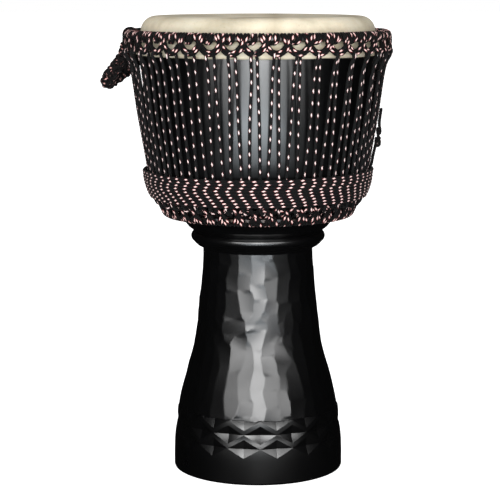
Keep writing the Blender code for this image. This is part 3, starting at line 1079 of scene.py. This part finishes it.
# %% Handle route
HINGE = np.array(frame["record"]["behaviour"]["joints"][0]["pos_m"])
OUT = np.array([HINGE[0], HINGE[1], 0.0]) / np.linalg.norm(HINGE[:2])
ALONG = np.array([-OUT[1], OUT[0], 0.0])
UP = np.array([0.0, 0.0, 1.0])
LEG_HALF = math.sqrt(CROWN[0] ** 2 - HINGE[0] ** 2 - HINGE[1] ** 2)
EYE_R = 0.0086
EYE_APART = 0.0024
SINNET_LEG = 0.0058
SINNET_GRIP = 0.0074
SINNET_SWAY = 0.001
SINNET_TURN = 0.052
SINNET_STRANDS = 4
CORE_STRANDS = 3
CORE_R = 0.0032
BINDING_TURNS = 3.6
BINDING = (0.0072, 0.0064)


def handle_place(along, out, up):
    return HINGE + ALONG * along + OUT * out + UP * up


def handle_centre():
    half = [
        (1.00, 0.0062, -0.013),
        (1.00, 0.0082, -0.0235),
        (0.96, 0.0155, -0.037),
        (0.8, 0.0275, -0.0505),
        (0.45, 0.04, -0.0618),
        (0.14, 0.0452, -0.068),
    ]
    keys = [handle_place(-a * LEG_HALF, o, u) for a, o, u in half]
    keys += [handle_place(a * LEG_HALF, o, u) for a, o, u in reversed(half)]
    return smooth_path(keys, 0.0015)


def sinnet_routes():
    """A twisted core, and round it as many strands one way as the other, in front and behind by turns."""
    centre = handle_centre()
    ahead = np.gradient(centre, axis=0)
    ahead /= np.linalg.norm(ahead, axis=1)[:, None]
    across = np.cross(ahead, OUT * 0.55 + UP * 0.83)
    across /= np.linalg.norm(across, axis=1)[:, None]
    outward = np.cross(across, ahead)
    along = lengths_along(centre)
    from_middle = np.abs(along / along[-1] - 0.5) * 2
    ends = np.clip(np.minimum(along, along[-1] - along) / 0.012, 0.0, 1.0)
    legs = np.clip(from_middle * 2 - 1, 0.0, 1.0)
    reach = (SINNET_GRIP + (SINNET_LEG - SINNET_GRIP) * legs) * (0.5 + 0.5 * ends)
    core = CORE_R * (0.3 + 0.7 * ends)

    def wound(start, turned, far):
        beside, above = far * np.sin(turned + start), far * np.cos(turned + start)
        return centre + across * beside[:, None] + outward * above[:, None]

    turned = along * math.tau / SINNET_TURN
    routes = [wound(i * math.tau / CORE_STRANDS, turned, core) for i in range(CORE_STRANDS)]
    for way in (-1, 1):
        for i in range(SINNET_STRANDS):
            crossing = way * np.cos(turned * SINNET_STRANDS + i * math.pi)
            routes.append(wound(i * math.tau / SINNET_STRANDS, way * turned, reach + SINNET_SWAY * crossing))
    return routes


def eye_route(side, shift):
    """A strand's eye round the ring, from the leg, over the top, and back into the leg."""
    along = side * LEG_HALF + shift
    keys = [handle_place(along * 0.99, 0.0105, -0.029), handle_place(along, 0.009, -0.013)]
    for degrees in range(-15, 236, 25):
        a = math.radians(degrees)
        keys.append(handle_place(along, EYE_R * math.cos(a), EYE_R * math.sin(a)))
    keys += [handle_place(along, 0.0015, -0.013), handle_place(along * 0.99, 0.006, -0.026)]
    return smooth_path(keys, 0.0012)


def binding_route(side):
    """Tight turns that bind a leg just under its eye."""
    start = handle_place(side * LEG_HALF, 0.0055, -0.013)
    end = handle_place(side * LEG_HALF * 0.99, 0.0092, -0.027)
    axis = (end - start) / np.linalg.norm(end - start)
    first = np.cross(axis, ALONG)
    first /= np.linalg.norm(first)
    second = np.cross(axis, first)
    points = []
    for t in np.linspace(0.0, BINDING_TURNS, 80):
        wide, deep = BINDING[0] * math.cos(t * math.tau), BINDING[1] * math.sin(t * math.tau)
        down = axis * (t / BINDING_TURNS) * np.linalg.norm(end - start)
        points.append(start + down + second * wide + first * deep)
    return np.array(points)


routes = sinnet_routes()
for side in (-1, 1):
    routes += [eye_route(side, -EYE_APART), eye_route(side, EYE_APART), binding_route(side)]
rope_piece("handle_plait", routes, braids["handle"], "handle_braid", "carry_handle", "handle", step=0.0018)

# %% [markdown]
# ## Floor and light
# Satin black shows only what it reflects, so soft boxes stand close to the camera's axis, and the floor and
# background are white to the eye but throw little light back. A low light brightens the bead's underside.

# %% Floor, background and lights
floor_mesh = bpy.data.meshes.new("floor")
FLOOR_HALF = 30.0
AMBIENT = 0.6
DARK = 0.004
corners = [(x * FLOOR_HALF, y * FLOOR_HALF, 0.0) for x, y in ((-1, -1), (1, -1), (1, 1), (-1, 1))]
floor_mesh.from_pydata(corners, [], [(0, 1, 2, 3)])
floor = in_scene("floor", floor_mesh)
WHITE = (1.0, 1.0, 1.0, 1.0)
PALE = (0.82, 0.82, 0.82, 1.0)
glow = {"Emission_Color": WHITE, "Emission_Strength": 0.965}
floor_mesh.materials.append(new_material("floor_white", Base_Color=PALE, Roughness=0.9, **glow)[0])
floor.visible_glossy = False
floor.visible_diffuse = False

world = bpy.data.worlds.new("studio")
bpy.context.scene.world = world
world.use_nodes = True
tree = world.node_tree
tree.nodes.clear()
path = node(tree, "ShaderNodeLightPath").outputs
fill = maths(tree, "MULTIPLY_ADD", path["Is Diffuse Ray"], AMBIENT, DARK)
strength = maths(tree, "MAXIMUM", fill, path["Is Camera Ray"])
surface = node(tree, "ShaderNodeBackground", [("Color", WHITE), ("Strength", strength)]).outputs[0]
node(tree, "ShaderNodeOutputWorld", [("Surface", surface)])


def soft_light(name, place, target, width, height, power):
    """A rectangular soft box at a place, facing a target."""
    data = bpy.data.lights.new(name, "AREA")
    data.shape = "RECTANGLE"
    data.size = width
    data.size_y = height
    data.energy = power
    light = in_scene(name, data)
    light.location = place
    light.rotation_euler = (Vector(target) - Vector(place)).to_track_quat("-Z", "Y").to_euler()
    light.visible_camera = False
    return light


soft_light("front_softbox", (0.02, -2.75, 0.84), (0.0, 0.0, 0.7), 1.1, 0.95, 36.0)
soft_light("left_wing", (-1.32, -2.4, 0.84), (0.0, 0.0, 0.7), 1.3, 0.95, 21.0)
soft_light("right_wing", (1.32, -2.4, 0.84), (0.0, 0.0, 0.7), 1.3, 0.95, 18.0)
floor_card = soft_light("floor_card", (0.0, -2.6, 0.012), (0.0, -2.6, 1.0), 2.0, 1.9, 100.0)
floor_card.data.color = (0.86, 0.94, 1.0)
soft_light("top_fill", (0.0, 0.3, 2.6), (0.0, 0.0, 0.6), 1.4, 1.4, 9.0)
bpy.context.scene.view_settings.view_transform = "Standard"
